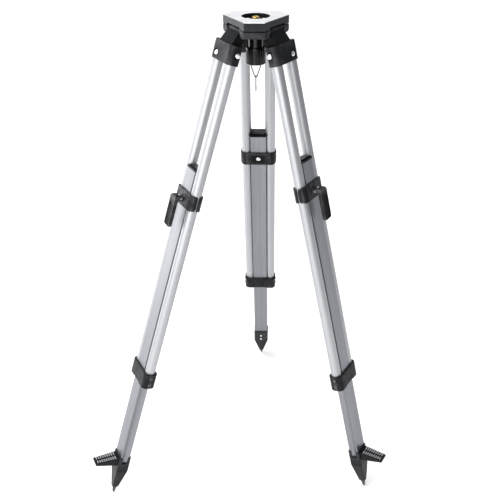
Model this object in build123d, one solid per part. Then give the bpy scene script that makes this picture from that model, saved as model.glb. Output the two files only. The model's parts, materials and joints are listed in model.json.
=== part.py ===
"""Aluminium surveying tripod: flat triangular head, three telescopic twin-tube legs.

Millimetres. The origin is the centre of the head's flat top face, +Z points up, and the
legs stand slightly unevenly spread, with the head level and the three points on one floor.
Each leg is drawn in its own frame, with the hinge axis at the origin, X pointing away from
the tripod's axis, Y along the hinge pin and the leg hanging along -Z. upper_frame() leans
and turns that frame into place, and lower_frame() also slides it out to reach the floor.
"""
from build123d import *
import math
import os

# Stance
LEAN = {"back": 16.8, "left": 18.0, "right": 13.8}
FLOOR_Z = -1255.0
LEG_AZIMUTH = {"back": 90.0, "left": 210.0, "right": 330.0}
CORNER_AZIMUTH = [30.0, 150.0, 270.0]
HINGE_RADIUS = 44.0
HINGE_Z = -25.0

# Head plate
HEAD_SIDE = 56.0
HEAD_CORNER = 72.5
HEAD_WALL = 7.0
HEAD_HOLE_R = 32.0
HEAD_POCKET_R = 50.0
PILLAR_Z = -18.5
NOTCH_Z = -14.0
NOTCH_HALF = 31.3
HEAD_EDGE = 0.8

# Hinge caps and pins
CAP_TOP_Z = -20.0
CAP_BOTTOM_Z = -36.0
CAP_POCKET_R = 46.0
CAP_BEVEL = 4.0
CAP_TOP_BEVEL = 1.0
PIN_R = 5.0
PIN_HALF = 48.0
PIN_END_GAP = 0.3
SEAT_GAP = 0.05
RUNNING_GAP = 0.05
CAP_SCREW_OFFSET = 62.0
CAP_SCREW_R = 4.0
CAP_SCREW_HEAD_R = 6.5
CAP_SCREW_HEAD = 5.0
CAP_SCREW_TOP_Z = -9.0
CAP_BOSS_R = 9.0

# Shoulder castings
BARREL_R = 10.0
BARREL_HALF = 30.0
NECK_Z = -30.5
BLOCK_BOTTOM_Z = -74.0
BLOCK_X = (-3.0, 28.4)
BLOCK_HALF = 46.8
BLOCK_CORNER = 13.5
NECK_FOOT_X = (-3.0, 22.0)
NECK_TOP_HALF = 28.0
NECK_FOOT_HALF = 29.5

# Dome screws in the shoulders
DOME_R = 6.8
DOME_HEIGHT = 3.8
DOME_SHANK_R = 2.6
DOME_SHANK_FROM = 6.0
DOME_RECESS_R = 8.6
DOME_RECESS = 1.9
SOCKET_R = 2.1
SOCKET_DEPTH = 2.0
END_SCREW_X = 8.0
END_SCREW_Z = -51.0
FACE_SCREW_Y = {"back": 23.0, "left": -23.0, "right": 23.0}
FACE_SCREW_Z = -60.0
CORE_X = (3.0, 24.0)
CORE_HALF = 14.0
CORE_TOP_Z = -42.0

# Outer tubes
TUBE_R = 13.0
TUBE_WALL = 1.6
TUBE_X = 13.0
TUBE_Y = 31.0
TUBE_TOP_Z = -41.0
TUBE_BOTTOM_Z = -914.0

# Collar at the foot of the tubes
COLLAR_Z = (-919.0, -877.0)
COLLAR_X = (-5.0, 31.0)
COLLAR_HALF = 47.5
COLLAR_CORNER = 13.0
COLLAR_DIP = 3.5
COLLAR_DIP_HALF = 19.0
COLLAR_RIVET_Z = (-908.0, -889.0)
COLLAR_RIVET_HEAD_R = 4.2
COLLAR_RIVET_HEIGHT = 1.8
RIVET_R = 2.0
RIVET_FROM = 9.0

# Sliding inner leg
LEG_WIDTH = 42.0
LEG_DEPTH = 26.0
LEG_WALL = 2.0
LEG_FLANK_R = 13.5
LEG_FILLET = 1.5
CLAMP_Z = -391.0
LEG_TOP_Z = CLAMP_Z + 72.0
LEG_BOTTOM_Z = -1199.0
SLIDE_GAP = 0.4

# Guide on top of the inner leg
GUIDE_FLANGE = (46.0, 30.0, 5.0)
GUIDE_TOP = (37.0, 22.0, 3.0)
GUIDE_PLUG = (16.0, 12.0, 20.0)
GUIDE_FLANK_R = 13.4

# Quick clamp
CLAMP_HALF_Z = 19.5
CLAMP_HALF = 47.6
CLAMP_INNER_X = (-4.0, 8.5)
CLAMP_OUTER_X = (14.5, 30.5)
CLAMP_CORNER = 15.5
CLAMP_TUBE_R = 13.3
CLAMP_BOLT_R = 4.0
CLAMP_HEAD_R = 6.6
CLAMP_HEAD_HEIGHT = 3.6
CLAMP_SEAT = 1.2
CLAMP_SEAT_R = 8.2
CLAMP_BEVEL = 1.2
CLAMP_END_R = 8.0
EYE_R = 6.2
EYE_HALF = 6.0
LEVER_PIN_R = 3.0
LEVER_PIN_X = 39.0

# Cam lever
LEVER_HALF = 14.0
FORK_GAP = 6.4
CAM_R = 6.4
CAM_OFFSET = 0.8
HANDLE_X = (47.0, 56.0)
HANDLE_TOP = 6.9
HANDLE_LENGTH = 83.0
HANDLE_CORNER = 10.0
HANDLE_POCKET_X = 54.2
HANDLE_POCKET_HALF = 9.5
HANDLE_POCKET_FROM = 6.0
HANDLE_POCKET_LENGTH = 56.0
HANDLE_RIBS = 7
HANDLE_RIB_Z = 2.4
HANDLE_RIB_PITCH = 6.6
HANDLE_RIB_FROM = 5.0
HANDLE_RIB_DEPTH = 0.3
HANDLE_KNEE = 7.0
FORK_FLOOR = 1.2

# Foot
SHOE_TOP_Z = -1150.0
SHOE_STRAIGHT = 47.0
SHOE_TAPER = 64.0
SHOE_SIZE = (33.0, 46.0)
SHOE_TOE = (18.0, 14.0)
SHOE_FLANK_SLOT = (15.0, 20.0)
SHOE_RIVET_DEPTHS = (20.0, 38.0)
SHOE_RIVET_R = 3.6
SHOE_RIVET_HEIGHT = 1.8
SPIKE_R = 6.6
SPIKE_COLLAR = 4.0
SPIKE_LENGTH = 24.0
SPIKE_SHANK = (4.0, 18.0)
SPIKE_TIP_R = 0.6
SPIKE_WAIST_R = 3.6
SPIKE_TIP = 6.0
TOE_Z = SHOE_TOP_Z - SHOE_STRAIGHT - SHOE_TAPER
POINT_Z = TOE_Z - SPIKE_LENGTH

# Foot pedal
PEDAL_TILT = 12.0
PEDAL_LENGTH = 63.0
PEDAL_DROP = 4.0
PEDAL_ROOT_HALF = 17.5
PEDAL_END_HALF = 14.0
PEDAL_THICK = 6.0
PEDAL_ROOT_DEPTH = 25.0
PEDAL_WEB = 4.0
TREAD_COUNT = 9
TREAD_PITCH = 6.0
TREAD_BAR = (2.6, 1.4)
TREAD_GROOVE = 3.0
TREAD_MARGIN = 2.5

# Centring screw group
ARM_PIVOT_Y = -40.0
ARM_Z = (-10.5, -7.3)
ARM_PIVOT_END_R = 8.0
ARM_HALF = 15.0
ARM_END_Y = 36.0
ARM_SLOT_HALF = 10.0
BUSH_TRAVEL = 11.0
ARM_PIVOT_R = 3.0
ARM_PIVOT_HEAD_R = 6.0
ARM_PIVOT_HEAD = 3.0
BUSH_R = 9.8
BUSH_FLANGE_R = 13.5
BUSH_FLANGE = 3.0
STUD_R = 7.94
STUD_THREAD_Z = (-7.2, -1.0)
STUD_THREAD_CHAMFER = 1.0
STUD_SHANK_R = 7.0
STUD_BORE_R = 4.0
STUD_BOTTOM_Z = -62.0
WASHER_R = 13.0
WASHER_THICK = 1.5
KNOB_NECK_R = 16.8
KNOB_NECK_TOP_Z = -28.0
KNOB_SHOULDER_Z = -67.5
KNOB_BOTTOM_Z = -105.0
KNOB_R = 22.5
KNOB_FLUTES = 26
KNOB_FLUTE_R = 1.7
KNOB_CAVITY_R = 17.5
KNOB_CAVITY = 12.0

# Plumb bail and hook
WIRE_R = 1.1
BAIL_Z = -99.5
BAIL_HALF = 14.6
BAIL_END_HALF = 20.0
BAIL_VERTEX_Z = -136.0
BAIL_BEND = 2.0
BAIL_REST_HALF = 2.6
HOOK_WIRE_R = 1.1
HOOK_EYE_R = 3.4
HOOK_BEND_R = 4.2
HOOK_BEND_Z = -166.0
HOOK_LIP = 5.0
HOOK_LIP_LEAN = 1.5
HOOK_REST_GAP = 0.15


def write(shape, name):
    """Write one sub-part under its node name."""
    export_step(shape, f"parts/{name}.step")


def group(solids):
    """Separate solids that share one node."""
    return Compound(children=list(solids))


def upper_frame(leg):
    """Place of a leg's own frame: leaned outward and turned to its side of the head."""
    turn = Rot(0, 0, LEG_AZIMUTH[leg])
    return turn * Pos(HINGE_RADIUS, 0, HINGE_Z) * Rot(0, -LEAN[leg], 0)


def lower_frame(leg):
    """The same frame, slid along the leg until its point stands on the floor."""
    lean = math.radians(LEAN[leg])
    reach = (HINGE_Z - FLOOR_Z + TUBE_X * math.sin(lean)) / math.cos(lean)
    return upper_frame(leg) * Pos(0, 0, -reach - POINT_Z)


def slab(x_range, y_range, z_range):
    """A box between three pairs of limits."""
    size = [high - low for low, high in (x_range, y_range, z_range)]
    centre = [(low + high) / 2 for low, high in (x_range, y_range, z_range)]
    return Pos(*centre) * Box(*size)


def rod(start, end, radius):
    """A round bar from one point to another."""
    start = Vector(*start)
    end = Vector(*end)
    along = end - start
    base = Plane(origin=start, z_dir=along.normalized())
    return extrude(base * Circle(radius), along.length)


def dome_head(origin, direction, radius, height):
    """A shallow domed head: the slice of a ball that stands on a flat seat."""
    ball_r = (radius**2 + height**2) / (2 * height)
    seat = Plane(origin=Vector(*origin), z_dir=Vector(*direction))
    ball = seat * Pos(0, 0, height - ball_r) * Sphere(ball_r)
    keep = seat * Pos(0, 0, height / 2) * Cylinder(radius, height)
    return ball & keep


def socket_head(origin, direction, radius, height):
    """A domed head with a hexagon socket."""
    top = Vector(*origin) + Vector(*direction) * height
    socket = Plane(origin=top, z_dir=-Vector(*direction)) * RegularPolygon(SOCKET_R, 6)
    return dome_head(origin, direction, radius, height) - extrude(socket, SOCKET_DEPTH)


def column(sketch, z_range):
    """A plan outline stretched between two heights."""
    return Pos(0, 0, z_range[0]) * extrude(sketch, z_range[1] - z_range[0])


# ---------------------------------------------------------------- head

def head_outline():
    """Triangle with its corners cut off: long sides face the legs."""
    half = (HEAD_CORNER - HEAD_SIDE * math.cos(math.radians(60))) / math.sin(math.radians(60))
    points = []
    for azimuth in sorted(LEG_AZIMUTH.values()):
        angle = math.radians(azimuth)
        for along in (-half, half):
            x = HEAD_SIDE * math.cos(angle) - along * math.sin(angle)
            y = HEAD_SIDE * math.sin(angle) + along * math.cos(angle)
            points.append((x, y))
    return make_face(Polyline(*points, close=True))


def corner_posts(z_range, pocket_r):
    """The head's outline with the round pocket and the three hinge notches taken out."""
    posts = column(head_outline(), z_range) - column(Circle(pocket_r), z_range)
    for azimuth in LEG_AZIMUTH.values():
        notch = slab((HINGE_RADIUS - BARREL_R - 12, HEAD_CORNER), (-NOTCH_HALF, NOTCH_HALF), z_range)
        posts -= Rot(0, 0, azimuth) * notch
    return posts


def cap_screw_axis(azimuth):
    """Plan position of a hinge cap's screw."""
    angle = math.radians(azimuth)
    return CAP_SCREW_OFFSET * math.cos(angle), CAP_SCREW_OFFSET * math.sin(angle)


def head_plate():
    plate = column(head_outline(), (-HEAD_WALL, 0)) - column(Circle(HEAD_HOLE_R), (-HEAD_WALL, 0))
    rim = column(head_outline(), (NOTCH_Z, -HEAD_WALL)) - column(Circle(HEAD_POCKET_R), (NOTCH_Z, -HEAD_WALL))
    plate = plate + rim + corner_posts((PILLAR_Z, NOTCH_Z), HEAD_POCKET_R)
    outer_edges = plate.edges().group_by(Axis.Z)[-1].filter_by(GeomType.LINE)
    plate = chamfer(outer_edges, HEAD_EDGE)
    for azimuth in CORNER_AZIMUTH:
        x, y = cap_screw_axis(azimuth)
        plate -= rod((x, y, PILLAR_Z), (x, y, CAP_SCREW_TOP_Z), CAP_SCREW_R + SEAT_GAP)
    plate -= rod((0, ARM_PIVOT_Y, -HEAD_WALL), (0, ARM_PIVOT_Y, -1.5), ARM_PIVOT_R + SEAT_GAP)
    return plate


def hinge_caps():
    caps = corner_posts((CAP_BOTTOM_Z, CAP_TOP_Z), CAP_POCKET_R)
    caps = chamfer(outer_edges(caps, 0), CAP_BEVEL)
    caps = chamfer(outer_edges(caps, -1), CAP_TOP_BEVEL)
    for azimuth in CORNER_AZIMUTH:
        x, y = cap_screw_axis(azimuth)
        caps += rod((x, y, CAP_TOP_Z - 1), (x, y, PILLAR_Z), CAP_BOSS_R)
    for azimuth in CORNER_AZIMUTH:
        x, y = cap_screw_axis(azimuth)
        caps -= rod((x, y, CAP_BOTTOM_Z), (x, y, PILLAR_Z), CAP_SCREW_R + SEAT_GAP)
        caps -= rod((x, y, CAP_BOTTOM_Z), (x, y, CAP_BOTTOM_Z + CAP_SCREW_HEAD + 1), CAP_SCREW_HEAD_R + 0.3)
    for azimuth in LEG_AZIMUTH.values():
        end_y = PIN_HALF + PIN_END_GAP
        pocket = rod((HINGE_RADIUS, -end_y, HINGE_Z), (HINGE_RADIUS, end_y, HINGE_Z), PIN_R + SEAT_GAP)
        caps -= Rot(0, 0, azimuth) * pocket
    return group(caps.solids())


def outer_edges(posts, level):
    """Lowest (0) or highest (-1) edges of the posts along the head's cut corners."""
    edges = []
    for edge in posts.edges().group_by(Axis.Z)[level].filter_by(GeomType.LINE):
        middle = edge.center()
        for azimuth in CORNER_AZIMUTH:
            angle = math.radians(azimuth)
            if middle.X * math.cos(angle) + middle.Y * math.sin(angle) > HEAD_CORNER - 0.5:
                edges.append(edge)
    return edges


def cap_screws():
    screws = []
    for azimuth in CORNER_AZIMUTH:
        x, y = cap_screw_axis(azimuth)
        seat = CAP_BOTTOM_Z + CAP_SCREW_HEAD + 1
        screw = rod((x, y, seat - CAP_SCREW_HEAD), (x, y, seat), CAP_SCREW_HEAD_R)
        screw += rod((x, y, seat), (x, y, CAP_SCREW_TOP_Z - 0.5), CAP_SCREW_R)
        socket = Plane(origin=(x, y, seat - CAP_SCREW_HEAD)) * RegularPolygon(3.4, 6)
        screws.append(screw - extrude(socket, 3.0))
    return group(screws)


def hinge_pins():
    pins = []
    for azimuth in LEG_AZIMUTH.values():
        pin = rod((HINGE_RADIUS, -PIN_HALF, HINGE_Z), (HINGE_RADIUS, PIN_HALF, HINGE_Z), PIN_R)
        pins.append(Rot(0, 0, azimuth) * pin)
    return group(pins)


# ---------------------------------------------------------------- centring screw

def swing_arm():
    end = Pos(0, ARM_PIVOT_Y) * Circle(ARM_PIVOT_END_R)
    root_y = -ARM_SLOT_HALF - BUSH_TRAVEL
    body = Pos(0, (ARM_END_Y + root_y) / 2) * Rectangle(2 * ARM_HALF, ARM_END_Y - root_y)
    body = fillet(body.vertices().group_by(Axis.Y)[-1], ARM_HALF - 4)
    waist = make_face(
        Polyline(
            (-ARM_PIVOT_END_R, ARM_PIVOT_Y),
            (ARM_PIVOT_END_R, ARM_PIVOT_Y),
            (ARM_HALF, root_y),
            (-ARM_HALF, root_y),
            close=True,
        )
    )
    slot = Rot(0, 0, 90) * SlotOverall(2 * (ARM_SLOT_HALF + BUSH_TRAVEL), 2 * ARM_SLOT_HALF)
    outline = end + waist + body - slot - Pos(0, ARM_PIVOT_Y) * Circle(ARM_PIVOT_R + RUNNING_GAP)
    return column(outline, ARM_Z)


def arm_pivot():
    head_top = ARM_Z[0] - 0.3
    screw = rod((0, ARM_PIVOT_Y, head_top - ARM_PIVOT_HEAD), (0, ARM_PIVOT_Y, head_top), ARM_PIVOT_HEAD_R)
    return screw + rod((0, ARM_PIVOT_Y, head_top), (0, ARM_PIVOT_Y, -2.0), ARM_PIVOT_R)


def screw_bush():
    top = ARM_Z[1]
    flange_top = ARM_Z[0] - 0.3
    bush = rod((0, 0, flange_top), (0, 0, top), BUSH_R)
    bush += rod((0, 0, flange_top - BUSH_FLANGE), (0, 0, flange_top), BUSH_FLANGE_R)
    return bush - rod((0, 0, flange_top - BUSH_FLANGE), (0, 0, top), STUD_SHANK_R + RUNNING_GAP)


def thrust_washer():
    low = (0, 0, KNOB_NECK_TOP_Z)
    high = (0, 0, KNOB_NECK_TOP_Z + WASHER_THICK)
    return rod(low, high, WASHER_R) - rod(low, high, STUD_SHANK_R + RUNNING_GAP)


def centring_screw():
    """Hollow stud: full thread above the bush, a thinner plain shank through bush and knob."""
    thread_bottom, thread_top = STUD_THREAD_Z
    stud = rod((0, 0, thread_bottom), (0, 0, thread_top), STUD_R)
    stud = chamfer(stud.edges().group_by(Axis.Z)[-1], STUD_THREAD_CHAMFER)
    stud += rod((0, 0, STUD_BOTTOM_Z), (0, 0, thread_bottom), STUD_SHANK_R)
    return stud - rod((0, 0, STUD_BOTTOM_Z), (0, 0, thread_top), STUD_BORE_R)


def knob():
    neck = rod((0, 0, KNOB_SHOULDER_Z), (0, 0, KNOB_NECK_TOP_Z), KNOB_NECK_R)
    grip = rod((0, 0, KNOB_BOTTOM_Z), (0, 0, KNOB_SHOULDER_Z), KNOB_R)
    grip = fillet(grip.edges().filter_by(GeomType.CIRCLE), 2.0)
    flute_top = KNOB_SHOULDER_Z - 5.0
    flute = rod((KNOB_R + 0.5, 0, KNOB_BOTTOM_Z), (KNOB_R + 0.5, 0, flute_top), KNOB_FLUTE_R)
    for index in range(KNOB_FLUTES):
        grip -= Rot(0, 0, (index + 0.5) * 360 / KNOB_FLUTES) * flute
    body = neck + grip
    body -= rod((0, 0, STUD_BOTTOM_Z), (0, 0, KNOB_NECK_TOP_Z), STUD_SHANK_R + SEAT_GAP)
    body -= rod((0, 0, KNOB_BOTTOM_Z), (0, 0, STUD_BOTTOM_Z), STUD_BORE_R)
    body -= rod((0, 0, KNOB_BOTTOM_Z), (0, 0, KNOB_BOTTOM_Z + KNOB_CAVITY), KNOB_CAVITY_R)
    body -= rod((-KNOB_R + 1, 0, BAIL_Z), (KNOB_R - 1, 0, BAIL_Z), WIRE_R + RUNNING_GAP)
    return body


def bail():
    path = FilletPolyline(
        (BAIL_END_HALF, 0, BAIL_Z),
        (BAIL_HALF, 0, BAIL_Z),
        (BAIL_REST_HALF, 0, BAIL_VERTEX_Z),
        (-BAIL_REST_HALF, 0, BAIL_VERTEX_Z),
        (-BAIL_HALF, 0, BAIL_Z),
        (-BAIL_END_HALF, 0, BAIL_Z),
        radius=BAIL_BEND,
    )
    return sweep(Plane(origin=path @ 0, z_dir=path % 0) * Circle(WIRE_R), path=path)


def plumb_hook():
    eye_z = BAIL_VERTEX_Z + WIRE_R + HOOK_WIRE_R + HOOK_REST_GAP - HOOK_EYE_R
    eye = Pos(0, 0, eye_z) * Rot(0, 90, 0) * Torus(HOOK_EYE_R, HOOK_WIRE_R)
    shank = Line((0, 0, eye_z - HOOK_EYE_R), (0, 0, HOOK_BEND_Z))
    bend = ThreePointArc(
        (0, 0, HOOK_BEND_Z),
        (0, HOOK_BEND_R, HOOK_BEND_Z - HOOK_BEND_R),
        (0, 2 * HOOK_BEND_R, HOOK_BEND_Z),
    )
    lip_start = (0, 2 * HOOK_BEND_R, HOOK_BEND_Z)
    lip_end = (0, 2 * HOOK_BEND_R + HOOK_LIP_LEAN, HOOK_BEND_Z + HOOK_LIP)
    start = Plane(origin=shank @ 0, z_dir=shank % 0)
    wire = sweep(start * Circle(HOOK_WIRE_R), path=Wire([shank, bend]))
    return eye + wire + rod(lip_start, lip_end, HOOK_WIRE_R)


# ---------------------------------------------------------------- upper leg

def rounded_block(x_range, half_width, corner, z_range):
    """A block across the leg with rounded vertical corners."""
    centre_x = (x_range[0] + x_range[1]) / 2
    outline = Pos(centre_x, 0) * RectangleRounded(x_range[1] - x_range[0], 2 * half_width, corner)
    return column(outline, z_range)


def tube_bores(radius, z_range):
    """Round bars where the two tubes run."""
    bars = rod((TUBE_X, TUBE_Y, z_range[0]), (TUBE_X, TUBE_Y, z_range[1]), radius)
    return bars + rod((TUBE_X, -TUBE_Y, z_range[0]), (TUBE_X, -TUBE_Y, z_range[1]), radius)


def end_screw_seat(side):
    """Centre of the seat of the dome screw in one end of a shoulder."""
    return END_SCREW_X, side * (BLOCK_HALF - DOME_RECESS), END_SCREW_Z


def face_screw_seat(leg):
    """Centre of the seat of the dome screw in a shoulder's outward face."""
    return BLOCK_X[1] - DOME_RECESS, FACE_SCREW_Y[leg], FACE_SCREW_Z


def neck():
    """Tapered neck between the hinge barrel and the block."""
    top = Plane(origin=(0, 0, 0)) * Rectangle(2 * BARREL_R - 2, 2 * NECK_TOP_HALF)
    foot_x = (NECK_FOOT_X[0] + NECK_FOOT_X[1]) / 2
    foot_size = (NECK_FOOT_X[1] - NECK_FOOT_X[0], 2 * NECK_FOOT_HALF)
    foot = Plane(origin=(foot_x, 0, NECK_Z)) * Rectangle(*foot_size)
    return loft([foot, top])


def shoulder(leg):
    barrel = rod((0, -BARREL_HALF, 0), (0, BARREL_HALF, 0), BARREL_R)
    block = rounded_block(BLOCK_X, BLOCK_HALF, BLOCK_CORNER, (BLOCK_BOTTOM_Z, NECK_Z))
    block = chamfer(block.edges().group_by(Axis.Z)[-1], 1.5)
    body = barrel + neck() + block
    body -= tube_bores(TUBE_R + SEAT_GAP, (BLOCK_BOTTOM_Z, TUBE_TOP_Z))
    body -= slab(CORE_X, (-CORE_HALF, CORE_HALF), (BLOCK_BOTTOM_Z, CORE_TOP_Z))
    body -= rod((0, -BARREL_HALF, 0), (0, BARREL_HALF, 0), PIN_R + RUNNING_GAP)
    for side in (-1, 1):
        x, y, z = end_screw_seat(side)
        body -= rod((x, y, z), (x, side * (BLOCK_HALF + 1), z), DOME_RECESS_R)
        body -= rod((x, side * TUBE_Y, z), (x, y, z), DOME_SHANK_R + SEAT_GAP)
    x, y, z = face_screw_seat(leg)
    body -= rod((x, y, z), (BLOCK_X[1] + 1, y, z), DOME_RECESS_R)
    body -= rod((TUBE_X, y, z), (x, y, z), DOME_SHANK_R + SEAT_GAP)
    return body


def shoulder_screws(leg):
    screws = []
    for side in (-1, 1):
        x, y, z = end_screw_seat(side)
        screw = socket_head((x, y, z), (0, side, 0), DOME_R, DOME_HEIGHT)
        screws.append(screw + rod((x, side * (TUBE_Y + DOME_SHANK_FROM), z), (x, y, z), DOME_SHANK_R))
    x, y, z = face_screw_seat(leg)
    screw = socket_head((x, y, z), (1, 0, 0), DOME_R, DOME_HEIGHT)
    screws.append(screw + rod((TUBE_X + DOME_SHANK_FROM, y, z), (x, y, z), DOME_SHANK_R))
    return group(screws)


def tubes(leg):
    span = (TUBE_BOTTOM_Z, TUBE_TOP_Z)
    pair = tube_bores(TUBE_R, span) - tube_bores(TUBE_R - TUBE_WALL, span)
    for side in (-1, 1):
        x, y, z = end_screw_seat(side)
        pair -= rod((x, side * TUBE_Y, z), (x, y, z), DOME_SHANK_R + SEAT_GAP)
        for rivet_z in COLLAR_RIVET_Z:
            start = (TUBE_X, side * TUBE_Y, rivet_z)
            pair -= rod(start, (TUBE_X, side * COLLAR_HALF, rivet_z), RIVET_R + SEAT_GAP)
    x, y, z = face_screw_seat(leg)
    pair -= rod((TUBE_X, y, z), (x, y, z), DOME_SHANK_R + SEAT_GAP)
    return group(pair.solids())


def leg_outline(width, depth, flank_r, corner):
    """Section of the inner leg: a flat box whose flanks are hollowed to pass the tubes."""
    outline = Pos(TUBE_X, 0) * RectangleRounded(depth, width, corner)
    for side in (-1, 1):
        outline -= Pos(TUBE_X, side * TUBE_Y) * Circle(flank_r)
    return outline


def collar():
    body = rounded_block(COLLAR_X, COLLAR_HALF, COLLAR_CORNER, COLLAR_Z)
    body = chamfer(body.edges().group_by(Axis.Z)[0] + body.edges().group_by(Axis.Z)[-1], 1.2)
    body -= slab((-20, 50), (-COLLAR_DIP_HALF, COLLAR_DIP_HALF), (COLLAR_Z[0] - 1, COLLAR_Z[0] + COLLAR_DIP))
    body -= tube_bores(TUBE_R + SEAT_GAP, (TUBE_BOTTOM_Z, COLLAR_Z[1]))
    gap = 2 * SLIDE_GAP
    passage = leg_outline(LEG_WIDTH + gap, LEG_DEPTH + gap, LEG_FLANK_R - SLIDE_GAP, LEG_FILLET)
    body -= column(passage, (COLLAR_Z[0] - 1, COLLAR_Z[1] + 1))
    for side in (-1, 1):
        for z in COLLAR_RIVET_Z:
            start = (TUBE_X, side * TUBE_Y, z)
            body -= rod(start, (TUBE_X, side * COLLAR_HALF, z), RIVET_R + SEAT_GAP)
    return group(body.solids())


def collar_rivets():
    rivets = []
    for side in (-1, 1):
        for z in COLLAR_RIVET_Z:
            seat = (TUBE_X, side * COLLAR_HALF, z)
            head = dome_head(seat, (0, side, 0), COLLAR_RIVET_HEAD_R, COLLAR_RIVET_HEIGHT)
            rivets.append(head + rod((TUBE_X, side * (TUBE_Y + RIVET_FROM), z), seat, RIVET_R))
    return group(rivets)


# ---------------------------------------------------------------- lower leg

def inner_leg():
    span = (LEG_BOTTOM_Z, LEG_TOP_Z)
    inside = (LEG_WIDTH - 2 * LEG_WALL, LEG_DEPTH - 2 * LEG_WALL, LEG_FLANK_R + LEG_WALL)
    body = column(leg_outline(LEG_WIDTH, LEG_DEPTH, LEG_FLANK_R, LEG_FILLET), span)
    body -= column(leg_outline(*inside, 0.8), span)
    body -= rod((-1, 0, CLAMP_Z), (LEG_DEPTH + 1, 0, CLAMP_Z), CLAMP_BOLT_R + SEAT_GAP)
    for depth in SHOE_RIVET_DEPTHS:
        z = SHOE_TOP_Z - depth
        body -= rod((-1, 0, z), (LEG_DEPTH + 1, 0, z), RIVET_R + SEAT_GAP)
    return body


def leg_guide():
    width, depth, height = GUIDE_FLANGE
    flange_top = LEG_TOP_Z + height
    body = column(leg_outline(width, depth, GUIDE_FLANK_R, 3.0), (LEG_TOP_Z, flange_top))
    width, depth, height = GUIDE_TOP
    body += column(leg_outline(width, depth, GUIDE_FLANK_R, 3.0), (flange_top, flange_top + height))
    width, depth, height = GUIDE_PLUG
    plug = Pos(TUBE_X, 0) * Rectangle(depth, width)
    return body + column(plug, (LEG_TOP_Z - height, LEG_TOP_Z))


def clamp_plate(x_range, outward):
    """One half of the quick clamp: a bar across the leg with ends that hug the tubes."""
    z_range = (CLAMP_Z - CLAMP_HALF_Z, CLAMP_Z + CLAMP_HALF_Z)
    whole = rounded_block((CLAMP_INNER_X[0], CLAMP_OUTER_X[1]), CLAMP_HALF, CLAMP_CORNER, z_range)
    rims = whole.edges().group_by(Axis.Z)[0] + whole.edges().group_by(Axis.Z)[-1]
    whole = chamfer(rims, CLAMP_BEVEL)
    body = whole & slab(x_range, (-60, 60), z_range)
    front = Plane(origin=(x_range[0] - 1, 0, CLAMP_Z), x_dir=(0, 1, 0), z_dir=(1, 0, 0))
    body &= extrude(front * RectangleRounded(2 * CLAMP_HALF, 2 * CLAMP_HALF_Z, CLAMP_END_R), 60)
    body -= tube_bores(CLAMP_TUBE_R, z_range)
    body -= column(leg_outline(LEG_WIDTH, LEG_DEPTH, LEG_FLANK_R - 2, LEG_FILLET), z_range)
    body -= rod((x_range[0] - 1, 0, CLAMP_Z), (x_range[1] + 1, 0, CLAMP_Z), CLAMP_BOLT_R + SEAT_GAP)
    if not outward:
        body -= rod((x_range[0] - 1, 0, CLAMP_Z), (x_range[0] + CLAMP_SEAT, 0, CLAMP_Z), CLAMP_SEAT_R)
    return max(body.solids(), key=lambda solid: solid.volume)


def clamp_bolt():
    seat_x = CLAMP_INNER_X[0] + CLAMP_SEAT
    body = socket_head((seat_x, 0, CLAMP_Z), (-1, 0, 0), CLAMP_HEAD_R, CLAMP_HEAD_HEIGHT)
    body += rod((seat_x, 0, CLAMP_Z), (LEVER_PIN_X, 0, CLAMP_Z), CLAMP_BOLT_R)
    body += rod((LEVER_PIN_X, -EYE_HALF, CLAMP_Z), (LEVER_PIN_X, EYE_HALF, CLAMP_Z), EYE_R)
    eye_ends = (LEVER_PIN_X, -EYE_HALF, CLAMP_Z), (LEVER_PIN_X, EYE_HALF, CLAMP_Z)
    return body - rod(*eye_ends, LEVER_PIN_R + SEAT_GAP)


def lever_pin():
    return rod((LEVER_PIN_X, -LEVER_HALF, CLAMP_Z), (LEVER_PIN_X, LEVER_HALF, CLAMP_Z), LEVER_PIN_R)


def side_plate(points, half_width):
    """An outline in the leg's X-Z plane, thickened equally to both sides."""
    face = make_face(Polyline(*[(x, 0, z) for x, z in points], close=True))
    return extrude(face, half_width, both=True)


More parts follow.
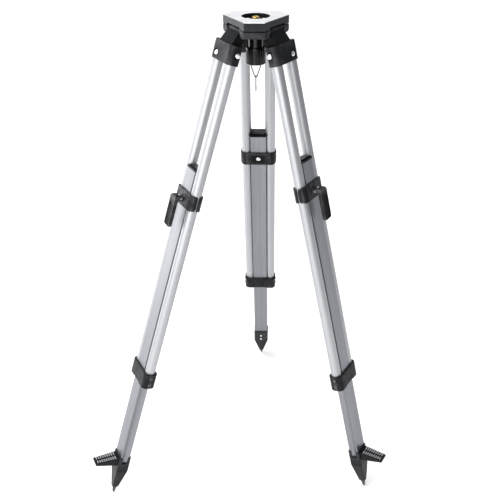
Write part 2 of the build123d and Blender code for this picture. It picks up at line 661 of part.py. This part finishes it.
def lever():
    """Cam lever: its head is kept low and its cam round, so that it clears the plate as it opens."""
    top = CLAMP_Z + HANDLE_TOP
    foot = top - HANDLE_LENGTH
    inner_x, outer_x = HANDLE_X
    cam_x = LEVER_PIN_X - CAM_OFFSET
    profile = [
        (LEVER_PIN_X, CLAMP_Z + CAM_R),
        (inner_x, top),
        (outer_x - HANDLE_KNEE, top),
        (outer_x - HANDLE_KNEE / 3, top - HANDLE_KNEE / 3),
        (outer_x, top - HANDLE_KNEE),
        (outer_x, foot + 4),
        (outer_x - 3, foot),
        (inner_x, foot),
        (inner_x, CLAMP_Z - 9),
        (inner_x - 3, CLAMP_Z - 5),
        (LEVER_PIN_X, CLAMP_Z - CAM_R),
    ]
    body = side_plate(profile, LEVER_HALF)
    body += rod((cam_x, -LEVER_HALF, CLAMP_Z), (cam_x, LEVER_HALF, CLAMP_Z), CAM_R)
    fork_x = (LEVER_PIN_X - 10, inner_x - FORK_FLOOR)
    body -= slab(fork_x, (-FORK_GAP, FORK_GAP), (CLAMP_Z - 12, top + 1))
    pin_ends = (LEVER_PIN_X, -LEVER_HALF, CLAMP_Z), (LEVER_PIN_X, LEVER_HALF, CLAMP_Z)
    body -= rod(*pin_ends, LEVER_PIN_R + RUNNING_GAP)
    front = Plane(origin=(inner_x - 20, 0, (top + foot) / 2), x_dir=(0, 1, 0), z_dir=(1, 0, 0))
    body &= extrude(front * RectangleRounded(2 * LEVER_HALF, HANDLE_LENGTH, HANDLE_CORNER), 60)
    pocket_z = (foot + HANDLE_POCKET_FROM, foot + HANDLE_POCKET_FROM + HANDLE_POCKET_LENGTH)
    y_range = (-HANDLE_POCKET_HALF, HANDLE_POCKET_HALF)
    body -= slab((HANDLE_POCKET_X, outer_x + 1), y_range, pocket_z)
    for index in range(HANDLE_RIBS):
        z = pocket_z[0] + HANDLE_RIB_FROM + index * HANDLE_RIB_PITCH
        body += slab((HANDLE_POCKET_X - 0.5, outer_x - HANDLE_RIB_DEPTH), y_range, (z, z + HANDLE_RIB_Z))
    return body


# ---------------------------------------------------------------- foot

def pedal():
    """Tread plate and webs, about level when the leg stands."""
    level = Pos(SHOE_SIZE[0] / 2 + TUBE_X, 0, SHOE_TOP_Z - PEDAL_DROP) * Rot(0, PEDAL_TILT, 0)
    root = -6.0
    plan = make_face(
        Polyline(
            (root, -PEDAL_ROOT_HALF),
            (PEDAL_LENGTH, -PEDAL_END_HALF),
            (PEDAL_LENGTH, PEDAL_END_HALF),
            (root, PEDAL_ROOT_HALF),
            close=True,
        )
    )
    plate = column(plan, (-PEDAL_THICK, 0))
    wedge = side_plate(
        [(root, -1), (PEDAL_LENGTH, -1), (PEDAL_LENGTH, -PEDAL_THICK), (root, -PEDAL_ROOT_DEPTH)],
        PEDAL_ROOT_HALF,
    )
    webs = wedge & column(plan, (-PEDAL_ROOT_DEPTH, 0))
    for centre in (-1, 1):
        room = PEDAL_END_HALF - 1.5 * PEDAL_WEB
        low = centre * (PEDAL_WEB / 2 + room / 2)
        y_range = (low - room / 2, low + room / 2)
        webs -= slab((2, PEDAL_LENGTH - 5), y_range, (-PEDAL_ROOT_DEPTH, -PEDAL_THICK))
    body = plate + webs
    bar_x, bar_z = TREAD_BAR
    for index in range(TREAD_COUNT):
        x = 8 + index * TREAD_PITCH
        share = x / PEDAL_LENGTH
        half = PEDAL_ROOT_HALF + share * (PEDAL_END_HALF - PEDAL_ROOT_HALF) - TREAD_MARGIN
        for side in (-1, 1):
            inner, outer = sorted((side * TREAD_GROOVE, side * half))
            body += slab((x - bar_x / 2, x + bar_x / 2), (inner, outer), (-0.5, bar_z))
    return level * body


def shoe():
    straight_z = SHOE_TOP_Z - SHOE_STRAIGHT
    section = Pos(TUBE_X, 0) * RectangleRounded(*SHOE_SIZE, 4.0)
    body = column(section, (straight_z, SHOE_TOP_Z))
    wide = Plane(origin=(TUBE_X, 0, straight_z)) * RectangleRounded(*SHOE_SIZE, 4.0)
    toe = Plane(origin=(TUBE_X, 0, TOE_Z)) * RectangleRounded(*SHOE_TOE, 3.0)
    body += loft([toe, wide])
    body += pedal()
    socket_z = LEG_BOTTOM_Z - 0.5
    socket = leg_outline(LEG_WIDTH + 0.1, LEG_DEPTH + 0.1, LEG_FLANK_R - 0.05, LEG_FILLET)
    body -= column(socket, (socket_z, SHOE_TOP_Z + 30))
    slot_x, slot_z = SHOE_FLANK_SLOT
    for side in (-1, 1):
        y_range = sorted((side * 15, side * 30))
        x_range = (TUBE_X - slot_x / 2, TUBE_X + slot_x / 2)
        body -= slab(x_range, y_range, (SHOE_TOP_Z - slot_z, SHOE_TOP_Z + 5))
    outer_x = TUBE_X + SHOE_SIZE[0] / 2
    inner_x = TUBE_X - SHOE_SIZE[0] / 2
    for depth in SHOE_RIVET_DEPTHS:
        z = SHOE_TOP_Z - depth
        body -= rod((inner_x, 0, z), (outer_x, 0, z), RIVET_R + SEAT_GAP)
    shank_r, shank_length = SPIKE_SHANK
    body -= rod((TUBE_X, 0, TOE_Z), (TUBE_X, 0, TOE_Z + shank_length), shank_r + SEAT_GAP)
    return max(body.solids(), key=lambda solid: solid.volume)


def shoe_rivets():
    rivets = []
    inner_x = TUBE_X - SHOE_SIZE[0] / 2
    outer_x = TUBE_X + SHOE_SIZE[0] / 2
    for depth in SHOE_RIVET_DEPTHS:
        z = SHOE_TOP_Z - depth
        shank = rod((inner_x, 0, z), (outer_x, 0, z), RIVET_R)
        head = dome_head((inner_x, 0, z), (-1, 0, 0), SHOE_RIVET_R, SHOE_RIVET_HEIGHT)
        rivets.append(shank + head)
    return group(rivets)


def spike():
    """Hard steel point: a collar under the toe, a stout taper and a short sharp tip."""
    shank_r, shank_length = SPIKE_SHANK
    body = rod((TUBE_X, 0, TOE_Z), (TUBE_X, 0, TOE_Z + shank_length - 1), shank_r)
    body += rod((TUBE_X, 0, TOE_Z - SPIKE_COLLAR), (TUBE_X, 0, TOE_Z), SPIKE_R)
    taper = SPIKE_LENGTH - SPIKE_COLLAR - SPIKE_TIP
    taper_z = TOE_Z - SPIKE_COLLAR - taper / 2
    body += Pos(TUBE_X, 0, taper_z) * Cone(SPIKE_WAIST_R, SPIKE_R - 1, taper)
    tip_z = POINT_Z + SPIKE_TIP / 2
    return body + Pos(TUBE_X, 0, tip_z) * Cone(SPIKE_TIP_R, SPIKE_WAIST_R, SPIKE_TIP)


def main():
    os.makedirs("parts", exist_ok=True)
    write(head_plate(), "head_plate")
    write(hinge_caps(), "hinge_caps")
    write(cap_screws(), "cap_screws")
    write(hinge_pins(), "hinge_pins")
    write(swing_arm(), "swing_arm")
    write(arm_pivot(), "arm_pivot")
    write(screw_bush(), "screw_bush")
    write(thrust_washer(), "thrust_washer")
    write(centring_screw(), "centring_screw")
    write(knob(), "knob")
    write(bail(), "bail")
    write(plumb_hook(), "plumb_hook")
    on_every_upper_leg = {
        "collar": collar(),
        "collar_rivets": collar_rivets(),
    }
    on_every_lower_leg = {
        "inner_leg": inner_leg(),
        "leg_guide": leg_guide(),
        "clamp_inner_plate": clamp_plate(CLAMP_INNER_X, False),
        "clamp_outer_plate": clamp_plate(CLAMP_OUTER_X, True),
        "clamp_bolt": clamp_bolt(),
        "lever_pin": lever_pin(),
        "lever": lever(),
        "shoe": shoe(),
        "shoe_rivets": shoe_rivets(),
        "spike": spike(),
    }
    for leg in LEG_AZIMUTH:
        write(upper_frame(leg) * shoulder(leg), f"{leg}_shoulder")
        write(upper_frame(leg) * shoulder_screws(leg), f"{leg}_shoulder_screws")
        write(upper_frame(leg) * tubes(leg), f"{leg}_tubes")
        for name, shape in on_every_upper_leg.items():
            write(upper_frame(leg) * shape, f"{leg}_{name}")
        for name, shape in on_every_lower_leg.items():
            write(lower_frame(leg) * shape, f"{leg}_{name}")


main()
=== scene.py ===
"""Looks of the surveying tripod: materials for the frame's nodes, a cut thread on the centring
screw, a pale floor, soft studio light and the camera. Metres, in the frame's own axes."""
import json
import math

import bmesh
import bpy
from mathutils import Euler, Matrix, Vector


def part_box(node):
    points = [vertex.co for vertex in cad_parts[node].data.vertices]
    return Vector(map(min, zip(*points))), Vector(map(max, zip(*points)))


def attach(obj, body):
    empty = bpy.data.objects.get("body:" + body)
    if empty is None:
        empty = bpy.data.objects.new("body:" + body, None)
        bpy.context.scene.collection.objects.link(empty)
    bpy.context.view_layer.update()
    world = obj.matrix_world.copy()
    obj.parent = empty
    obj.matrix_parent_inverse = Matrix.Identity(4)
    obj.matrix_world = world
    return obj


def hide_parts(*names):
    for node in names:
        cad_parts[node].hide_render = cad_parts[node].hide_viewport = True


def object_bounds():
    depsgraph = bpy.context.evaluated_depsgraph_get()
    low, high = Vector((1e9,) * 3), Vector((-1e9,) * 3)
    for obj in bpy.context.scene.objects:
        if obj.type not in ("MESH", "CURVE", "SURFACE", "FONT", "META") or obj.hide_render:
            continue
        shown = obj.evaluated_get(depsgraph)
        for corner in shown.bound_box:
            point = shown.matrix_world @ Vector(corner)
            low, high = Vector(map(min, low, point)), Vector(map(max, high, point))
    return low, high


LEGS = ("back", "left", "right")

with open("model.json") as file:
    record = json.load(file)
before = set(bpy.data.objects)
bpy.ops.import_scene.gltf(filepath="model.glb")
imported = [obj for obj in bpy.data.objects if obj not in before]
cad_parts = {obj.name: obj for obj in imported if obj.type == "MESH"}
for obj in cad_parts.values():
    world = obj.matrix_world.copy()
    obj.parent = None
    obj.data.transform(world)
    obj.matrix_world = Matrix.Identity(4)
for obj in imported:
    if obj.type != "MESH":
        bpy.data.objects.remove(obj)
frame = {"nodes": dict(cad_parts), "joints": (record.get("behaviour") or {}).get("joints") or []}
cad_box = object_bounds()
nodes = frame["nodes"]
joints = {joint["name"]: joint for joint in frame["joints"]}


# ---------------------------------------------------------------- places read from the frame

def leg_matrix(leg):
    """Axes of one leg: X outward across its flat face, Y along its hinge pin, Z up the leg."""
    down = Vector(joints[f"{leg}_extend"]["axis"]).normalized()
    pin = -Vector(joints[f"{leg}_spread"]["axis"]).normalized()
    up = -down
    outward = pin.cross(up).normalized()
    rotation = Matrix((outward, pin, up)).transposed()
    return Matrix.Translation(Vector(joints[f"{leg}_spread"]["pos_m"])) @ rotation.to_4x4()


PEDAL_TILT = math.radians(12.0)
PEDAL_PLACE = (0.0295, 0.0, -1.154)  # root of the tread in a leg's axes, with the leg drawn closed
TUBE_X = 0.013                       # the spike stands on the tubes' centre line
POINT_Z = -1.285                     # the spike's point, with the leg drawn closed
TREAD_FLOOR = 0.0004                 # height over the pedal where the tread bars begin
TREAD_TOP = 0.0012
TREAD_START = 0.003                  # distance from the pedal's root

# ---------------------------------------------------------------- tones and gloss

TUBE_TONES = ((0.48, 0.485, 0.498), (0.42, 0.425, 0.44))
PANEL_TONES = ((0.29, 0.295, 0.312), (0.235, 0.24, 0.256))
BLACK_COAT = (0.006, 0.0065, 0.007)
BLACK_COAT_THIN = (0.011, 0.012, 0.013)
BLACK_PLASTIC = (0.005, 0.0055, 0.006)
COAT_GLOSS = 0.16
FOOT_GLOSS = 0.22
HEAD_GLOSS = 0.24
PLASTIC_GLOSS = 0.14
KNOB_GLOSS = 0.5
HEAD_TOP_BAND = -0.0012              # the head's bare metal reaches down to here


def pedal_matrix(leg):
    """Axes of one foot's pedal: X along it from its root, Z out of its tread."""
    axes = leg_matrix(leg)
    tip_height = min(corner[2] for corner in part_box(f"{leg}_spike"))
    outward = axes.col[0].to_3d()
    up = axes.col[2].to_3d()
    tip_z = (tip_height - axes.translation.z - TUBE_X * outward.z) / up.z
    slide = tip_z - POINT_Z
    local = Matrix.Translation(Vector(PEDAL_PLACE) + Vector((0, 0, slide)))
    return axes @ local @ Matrix.Rotation(PEDAL_TILT, 4, "Y")


# ---------------------------------------------------------------- material helpers

class Nodes:
    """A material's node tree, with short calls for the nodes that the finishes share."""

    def __init__(self, name):
        self.material = bpy.data.materials.new(name)
        self.material.use_nodes = True
        self.tree = self.material.node_tree
        self.shader = self.tree.nodes["Principled BSDF"]

    def add(self, kind, **settings):
        node = self.tree.nodes.new(kind)
        for key, value in settings.items():
            setattr(node, key, value)
        return node

    def link(self, source, target):
        self.tree.links.new(source, target)

    def place(self, matrix=None, stretch=(1, 1, 1)):
        """Object position, turned into a piece's own axes and stretched along them."""
        coordinates = self.add("ShaderNodeTexCoord")
        mapping = self.add("ShaderNodeMapping", vector_type="TEXTURE")
        if matrix is not None:
            mapping.inputs["Location"].default_value = matrix.to_translation()
            mapping.inputs["Rotation"].default_value = matrix.to_euler()
        mapping.inputs["Scale"].default_value = stretch
        self.link(coordinates.outputs["Object"], mapping.inputs["Vector"])
        return mapping.outputs["Vector"]

    def noise(self, vector, scale, detail=3.0, roughness=0.5):
        node = self.add("ShaderNodeTexNoise")
        node.inputs["Scale"].default_value = scale
        node.inputs["Detail"].default_value = detail
        node.inputs["Roughness"].default_value = roughness
        self.link(vector, node.inputs["Vector"])
        return node.outputs["Fac"]

    def remap(self, value, low, high, to_low, to_high):
        node = self.add("ShaderNodeMapRange")
        self.link(value, node.inputs["Value"])
        node.inputs["From Min"].default_value = low
        node.inputs["From Max"].default_value = high
        node.inputs["To Min"].default_value = to_low
        node.inputs["To Max"].default_value = to_high
        return node.outputs["Result"]

    def mix_colour(self, factor, first, second):
        node = self.add("ShaderNodeMix", data_type="RGBA")
        self.link(factor, node.inputs["Factor"])
        for socket, value in ((node.inputs[6], first), (node.inputs[7], second)):
            if isinstance(value, tuple):
                socket.default_value = (*value, 1.0)
            else:
                self.link(value, socket)
        return node.outputs[2]

    def math(self, operation, first, second):
        node = self.add("ShaderNodeMath", operation=operation)
        for socket, value in ((node.inputs[0], first), (node.inputs[1], second)):
            if isinstance(value, (int, float)):
                socket.default_value = value
            else:
                self.link(value, socket)
        return node.outputs["Value"]

    def bump(self, height, strength, distance, below=None):
        node = self.add("ShaderNodeBump")
        node.inputs["Strength"].default_value = strength
        node.inputs["Distance"].default_value = distance
        self.link(height, node.inputs["Height"])
        if below is not None:
            self.link(below, node.inputs["Normal"])
        return node.outputs["Normal"]

    def edges(self):
        """Close to 1 on outer edges and corners, where a finish wears first."""
        geometry = self.add("ShaderNodeNewGeometry")
        return self.remap(geometry.outputs["Pointiness"], 0.54, 0.62, 0.0, 1.0)


def extruded_aluminium(name, matrix, colour, shade, rough):
    """Anodised extrusion: die lines and a faint tone that run the whole length of the profile."""
    build = Nodes(name)
    lines = build.place(matrix, stretch=(1, 1, 400))
    patches = build.place(matrix, stretch=(1, 1, 6))
    die_lines = build.noise(lines, 900.0, detail=4.0, roughness=0.6)
    bands = build.noise(lines, 140.0, detail=2.0)
    clouds = build.noise(patches, 22.0, detail=3.0)
    banding = build.remap(bands, 0.3, 0.7, 0.0, 0.6)
    tone = build.math("ADD", banding, build.remap(clouds, 0.35, 0.65, 0.0, 0.4))
    build.link(build.mix_colour(tone, colour, shade), build.shader.inputs["Base Color"])
    roughness = build.remap(die_lines, 0.25, 0.75, rough - 0.06, rough + 0.10)
    build.link(roughness, build.shader.inputs["Roughness"])
    grain = build.noise(build.place(), 2600.0, detail=2.0)
    fine = build.bump(grain, 0.10, 0.00006)
    build.link(build.bump(die_lines, 0.35, 0.00008, fine), build.shader.inputs["Normal"])
    build.shader.inputs["Metallic"].default_value = 1.0
    return build.material


def powder_coat(name, colour, worn, rough):
    """Cast aluminium under a fine black powder coat, thinner and greyer along its edges."""
    build = Nodes(name)
    where = build.place()
    clouds = build.noise(where, 35.0, detail=4.0)
    orange_peel = build.noise(where, 900.0, detail=2.0)
    speckle = build.noise(where, 2600.0, detail=2.0)
    lighter = tuple(1.5 * part for part in colour)
    base = build.mix_colour(build.remap(clouds, 0.3, 0.7, 0.0, 1.0), colour, lighter)
    wear = build.math("MULTIPLY", build.edges(), build.remap(clouds, 0.35, 0.65, 0.1, 0.9))
    build.link(build.mix_colour(wear, base, worn), build.shader.inputs["Base Color"])
    build.link(build.remap(clouds, 0.3, 0.7, rough - 0.05, rough + 0.08), build.shader.inputs["Roughness"])
    fine = build.bump(speckle, 0.12, 0.00008)
    build.link(build.bump(orange_peel, 0.30, 0.00015, fine), build.shader.inputs["Normal"])
    build.shader.inputs["Specular IOR Level"].default_value = COAT_GLOSS
    return build.material


def foot_wear_and_sheen(name, pedal):
    """Black coated casting, worn grey on its edges, with bright metal painted on the tops of its tread
    bars as a painted sheen.
    """
    build = Nodes(name)
    where = build.place()
    on_pedal = build.add("ShaderNodeSeparateXYZ")
    build.link(build.place(pedal), on_pedal.inputs["Vector"])
    clouds = build.noise(where, 40.0, detail=4.0)
    grit = build.noise(where, 420.0, detail=5.0, roughness=0.7)
    # Painted sheen: the tops of the tread bars, past the pedal's root, are painted bright metal to stand
    # in for the light they reflect.
    raised = build.remap(on_pedal.outputs["Z"], TREAD_FLOOR, TREAD_TOP, 0.0, 1.0)
    outside = build.math("GREATER_THAN", on_pedal.outputs["X"], TREAD_START)
    rubbed_and_sheen = build.math("MULTIPLY", raised, outside)
    rubbed_and_sheen = build.math("MULTIPLY", rubbed_and_sheen, build.remap(grit, 0.32, 0.50, 0.35, 1.0))
    edge_wear = build.math("MULTIPLY", build.edges(), build.remap(grit, 0.40, 0.62, 0.0, 0.8))
    coat = build.mix_colour(build.remap(clouds, 0.3, 0.7, 0.0, 1.0), BLACK_COAT, BLACK_COAT_THIN)
    coat = build.mix_colour(edge_wear, coat, (0.09, 0.09, 0.095))
    # Bright metal painted on the tread tops, in colour and in metalness: the painted sheen.
    build.link(build.mix_colour(rubbed_and_sheen, coat, (0.74, 0.74, 0.75)), build.shader.inputs["Base Color"])
    build.link(rubbed_and_sheen, build.shader.inputs["Metallic"])
    build.link(build.remap(grit, 0.3, 0.7, 0.30, 0.46), build.shader.inputs["Roughness"])
    build.shader.inputs["Specular IOR Level"].default_value = FOOT_GLOSS
    build.link(build.bump(grit, 0.30, 0.00015), build.shader.inputs["Normal"])
    return build.material


def machined_head(name):
    """Black coated casting whose flat top is milled bare, with a fine circular tool path."""
    build = Nodes(name)
    where = build.place()
    geometry = build.add("ShaderNodeNewGeometry")
    split = build.add("ShaderNodeSeparateXYZ")
    build.link(geometry.outputs["Normal"], split.inputs["Vector"])
    position = build.add("ShaderNodeSeparateXYZ")
    build.link(where, position.inputs["Vector"])
    facing_up = build.math("GREATER_THAN", split.outputs["Z"], 0.5)
    at_top = build.math("GREATER_THAN", position.outputs["Z"], HEAD_TOP_BAND)
    bare = build.math("MULTIPLY", facing_up, at_top)
    clouds = build.noise(where, 40.0, detail=4.0)
    rings = build.add("ShaderNodeTexWave", wave_type="RINGS", rings_direction="Z")
    rings.inputs["Scale"].default_value = 260.0
    rings.inputs["Distortion"].default_value = 0.6
    rings.inputs["Detail Scale"].default_value = 0.4
    build.link(where, rings.inputs["Vector"])
    scuffs = build.noise(build.place(stretch=(6, 1, 1)), 70.0, detail=6.0, roughness=0.7)
    cloudy = build.remap(clouds, 0.3, 0.7, 0.0, 1.0)
    metal = build.mix_colour(cloudy, (0.93, 0.93, 0.93), (0.80, 0.80, 0.82))
    coat = build.mix_colour(cloudy, (0.012, 0.013, 0.014), (0.022, 0.024, 0.026))
    build.link(build.mix_colour(bare, coat, metal), build.shader.inputs["Base Color"])
    build.link(bare, build.shader.inputs["Metallic"])
    build.shader.inputs["Specular IOR Level"].default_value = HEAD_GLOSS
    metal_rough = build.remap(scuffs, 0.35, 0.7, 0.26, 0.42)
    roughness = build.add("ShaderNodeMix", data_type="FLOAT")
    build.link(bare, roughness.inputs["Factor"])
    roughness.inputs[2].default_value = 0.34
    build.link(metal_rough, roughness.inputs[3])
    build.link(roughness.outputs[0], build.shader.inputs["Roughness"])
    tool_marks = build.math("MULTIPLY", rings.outputs["Fac"], bare)
    skin = build.noise(where, 1100.0, detail=2.0)
    peel = build.bump(skin, 0.18, 0.0001)
    build.link(build.bump(tool_marks, 0.12, 0.00003, peel), build.shader.inputs["Normal"])
    return build.material


def moulded_plastic(name, colour, rough, gloss=PLASTIC_GLOSS):
    """Black nylon with a fine spark-eroded texture, rubbed smoother and lighter on its edges."""
    build = Nodes(name)
    where = build.place()
    grain = build.noise(where, 1500.0, detail=3.0, roughness=0.6)
    handling = build.noise(where, 55.0, detail=4.0)
    rubbed_and_sheen = build.math("MULTIPLY", build.edges(), build.remap(handling, 0.3, 0.7, 0.2, 1.0))
    lighter = tuple(1.4 * part for part in colour)
    plain = build.mix_colour(build.remap(handling, 0.3, 0.7, 0.0, 1.0), colour, lighter)
    build.link(build.mix_colour(rubbed_and_sheen, plain, (0.10, 0.10, 0.105)), build.shader.inputs["Base Color"])
    roughness = build.remap(handling, 0.3, 0.7, rough + 0.06, rough - 0.06)
    build.link(roughness, build.shader.inputs["Roughness"])
    build.link(build.bump(grain, 0.28, 0.00012), build.shader.inputs["Normal"])
    build.shader.inputs["Specular IOR Level"].default_value = gloss
    return build.material


def turned_metal(name, colour, stain, rough):
    """Plated or turned metal with fine scratches and a few duller spots."""
    build = Nodes(name)
    where = build.place()
    spots = build.noise(where, 160.0, detail=4.0, roughness=0.65)
    scratches = build.noise(build.place(stretch=(8, 1, 1)), 1400.0, detail=2.0)
    spotted = build.mix_colour(build.remap(spots, 0.45, 0.75, 0.0, 1.0), colour, stain)
    build.link(spotted, build.shader.inputs["Base Color"])
    build.link(build.remap(spots, 0.3, 0.7, rough - 0.05, rough + 0.12), build.shader.inputs["Roughness"])
    build.link(build.bump(scratches, 0.15, 0.00004), build.shader.inputs["Normal"])
    build.shader.inputs["Metallic"].default_value = 1.0
    return build.material


def floor_material():
    build = Nodes("studio_floor")
    soft = build.noise(build.place(), 1.5, detail=2.0)
    pale = build.mix_colour(soft, (0.90, 0.90, 0.90), (0.92, 0.92, 0.92))
    build.link(pale, build.shader.inputs["Base Color"])
    build.shader.inputs["Roughness"].default_value = 0.9
    build.shader.inputs["Specular IOR Level"].default_value = 0.1
    return build.material


# ---------------------------------------------------------------- finishes on the frame's nodes

def dress(name, material):
    """Give one of the frame's nodes a single finish."""
    for slot in nodes[name].material_slots:
        slot.material = material


def dress_nodes():
    """Every node's finish: the head and screw group first, then the three legs."""
    casting = powder_coat("black_casting", BLACK_COAT, (0.07, 0.07, 0.075), 0.36)
    plastic = moulded_plastic("black_plastic", BLACK_PLASTIC, 0.36)
    steel = turned_metal("bright_steel", (0.86, 0.86, 0.87), (0.55, 0.55, 0.56), 0.20)
    dark_steel = turned_metal("dark_steel", (0.10, 0.10, 0.11), (0.20, 0.19, 0.18), 0.38)
    wire = turned_metal("drawn_wire", (0.09, 0.09, 0.095), (0.05, 0.05, 0.05), 0.40)
    brass = turned_metal("turned_brass", (0.82, 0.60, 0.22), (0.50, 0.34, 0.12), 0.24)
    dress("head_plate", machined_head("head_casting"))
    dress("hinge_caps", casting)
    for name in ("cap_screws", "arm_pivot", "swing_arm"):
        dress(name, dark_steel)
    for name in ("hinge_pins", "thrust_washer"):
        dress(name, steel)
    dress("screw_bush", brass)
    threaded_stud(brass)
    for name in ("bail", "plumb_hook"):
        dress(name, wire)
    dress("knob", moulded_plastic("glossy_plastic", BLACK_PLASTIC, 0.24, gloss=KNOB_GLOSS))
    for leg in LEGS:
        axes = leg_matrix(leg)
        tube = extruded_aluminium(f"{leg}_tube_anodised", axes, *TUBE_TONES, 0.46)
        panel = extruded_aluminium(f"{leg}_panel_anodised", axes, *PANEL_TONES, 0.38)
        dress(f"{leg}_tubes", tube)
        dress(f"{leg}_inner_leg", panel)
        dress(f"{leg}_shoulder", casting)
        # Each foot gets its own casting material, with a painted sheen of bright metal on its tread tops.
        dress(f"{leg}_shoe", foot_wear_and_sheen(f"{leg}_foot_casting", pedal_matrix(leg)))
        for part in ("collar", "leg_guide", "clamp_inner_plate", "clamp_outer_plate", "lever"):
            dress(f"{leg}_{part}", plastic)
        for part in ("shoulder_screws", "clamp_bolt", "lever_pin", "shoe_rivets"):
            dress(f"{leg}_{part}", steel)
        for part in ("collar_rivets", "spike"):
            dress(f"{leg}_{part}", dark_steel)


# ---------------------------------------------------------------- the centring screw's thread

THREAD_R = 0.00794
THREAD_ROOT_R = 0.00672
THREAD_PITCH = 0.0254 / 11
THREAD_Z = (-0.0072, -0.0010)
SHANK_R = 0.0070
BORE_R = 0.0040
STUD_FOOT_Z = -0.062
THREAD_STEPS = 96
THREAD_ROWS = 62
BEVEL = 0.0010        # height of the bevel over the thread's last turn
BEVEL_INSET = 0.0003  # the bevel ends this far inside the thread's root
LIP = 0.0004          # width of the flat lip and of the bore's small countersink
RUNOUT = 0.0002       # step between the plain shank and the first turn


def thread_radius(height, angle):
    """Radius of a thread of about 60 degrees with flat crests, bevelled at its top end."""
    turn = (height / THREAD_PITCH - angle / math.tau) % 1.0
    ridge = min(1.0, max(0.0, 1.25 - abs(turn - 0.5) * 3.4))
    from_top = (THREAD_Z[1] - height) / BEVEL
    end_radius = THREAD_ROOT_R - BEVEL_INSET
    cap = end_radius + (THREAD_R - end_radius) * min(1.0, max(0.0, from_top))
    radius = THREAD_ROOT_R + (THREAD_R - THREAD_ROOT_R) * ridge
    return min(radius, cap)


def threaded_stud(material):
    """Hollow stud with a cut thread, in place of the plain cylinder that the fit is tested on."""
    low, high = THREAD_Z
    rings = [(STUD_FOOT_Z, lambda height, angle: BORE_R)]
    rings.append((STUD_FOOT_Z, lambda height, angle: SHANK_R))
    rings.append((low - RUNOUT, lambda height, angle: SHANK_R))
    for row in range(THREAD_ROWS + 1):
        rings.append((low + (high - low) * row / THREAD_ROWS, thread_radius))
    rings.append((high, lambda height, angle: BORE_R + LIP))
    rings.append((high - LIP, lambda height, angle: BORE_R))
    mesh = bmesh.new()
    loops = []
    for height, radius in rings:
        loop = []
        for step in range(THREAD_STEPS):
            angle = math.tau * step / THREAD_STEPS
            reach = radius(height, angle)
            loop.append(mesh.verts.new((reach * math.cos(angle), reach * math.sin(angle), height)))
        loops.append(loop)
    for first, second in zip(loops, loops[1:] + loops[:1]):
        for step in range(THREAD_STEPS):
            after = (step + 1) % THREAD_STEPS
            mesh.faces.new((first[step], first[after], second[after], second[step]))
    bmesh.ops.recalc_face_normals(mesh, faces=mesh.faces)
    data = bpy.data.meshes.new("centring_screw_thread")
    mesh.to_mesh(data)
    mesh.free()
    for face in data.polygons:
        face.use_smooth = True
    data.set_sharp_from_angle(angle=math.radians(38))
    data.materials.append(material)
    stud = bpy.data.objects.new("centring_screw_thread", data)
    bpy.context.collection.objects.link(stud)
    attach(stud, "screw")
    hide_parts("centring_screw")


# ---------------------------------------------------------------- stage, light, camera

FLOOR_Z = cad_box[0][2]
FLOOR_SIZE = 14.0
FLOOR_CENTRE_Y = 2.0


def floor():
    bpy.ops.mesh.primitive_plane_add(size=FLOOR_SIZE, location=(0, FLOOR_CENTRE_Y, FLOOR_Z))
    plane = bpy.context.object
    plane.name = "studio_floor"
    plane.data.materials.append(floor_material())


def area_light(name, place, target, size, power):
    data = bpy.data.lights.new(name, "AREA")
    data.shape = "RECTANGLE"
    data.size, data.size_y = size
    data.energy = power
    lamp = bpy.data.objects.new(name, data)
    lamp.location = place
    lamp.rotation_euler = (Vector(target) - Vector(place)).to_track_quat("-Z", "Y").to_euler()
    lamp.visible_camera = False
    bpy.context.collection.objects.link(lamp)


def sun_light(name, towards, strength, spread):
    data = bpy.data.lights.new(name, "SUN")
    data.energy = strength
    data.angle = math.radians(spread)
    lamp = bpy.data.objects.new(name, data)
    lamp.rotation_euler = Vector(towards).to_track_quat("-Z", "Y").to_euler()
    bpy.context.collection.objects.link(lamp)


def lights():
    """Soft light from the left, a large box in front and a low one behind for the flat top."""
    sun_light("left_sky", (0.62, 0.10, -0.95), 2.5, 70.0)
    area_light("back_card", (-0.3, 4.2, 0.95), (0, 0, 0), (6.0, 1.9), 22.0)
    area_light("back_left_wall", (-1.9, 0.75, -0.35), (0, 0, -0.65), (1.9, 1.7), 17.0)
    area_light("front_box", (-0.95, -2.0, 0.1), (0, 0, -0.6), (2.8, 1.8), 37.0)
    world = bpy.data.worlds.new("studio")
    world.use_nodes = True
    background = world.node_tree.nodes["Background"]
    background.inputs["Color"].default_value = (0.95, 0.965, 1.0, 1.0)
    background.inputs["Strength"].default_value = 0.35
    bpy.context.scene.world = world


CAMERA_TURN = math.radians(2.39)
CAMERA_DISTANCE = 1.650
CAMERA_HEIGHT = 0.332
CAMERA_SIDE = -0.0022
CAMERA_PITCH = math.radians(29.4)
CAMERA_ROLL = math.radians(-0.2)
CAMERA_LENS = 51.98
CAMERA_SHIFT = (-0.011, 0.0015)
SENSOR_WIDTH = 36.0


def camera():
    data = bpy.data.cameras.new("camera")
    data.lens = CAMERA_LENS
    data.sensor_width = SENSOR_WIDTH
    data.shift_x, data.shift_y = CAMERA_SHIFT
    eye = bpy.data.objects.new("camera", data)
    turn = Matrix.Rotation(CAMERA_TURN, 3, "Z")
    eye.location = turn @ Vector((CAMERA_SIDE, -CAMERA_DISTANCE, CAMERA_HEIGHT))
    aim = Euler((math.pi / 2 - CAMERA_PITCH, 0.0, CAMERA_TURN)).to_matrix()
    eye.rotation_euler = (aim @ Matrix.Rotation(CAMERA_ROLL, 3, "Z")).to_euler()
    bpy.context.collection.objects.link(eye)
    bpy.context.scene.camera = eye
    bpy.context.scene.view_settings.view_transform = "Standard"
    bpy.context.scene.view_settings.look = "Medium High Contrast"


dress_nodes()
floor()
lights()
camera()
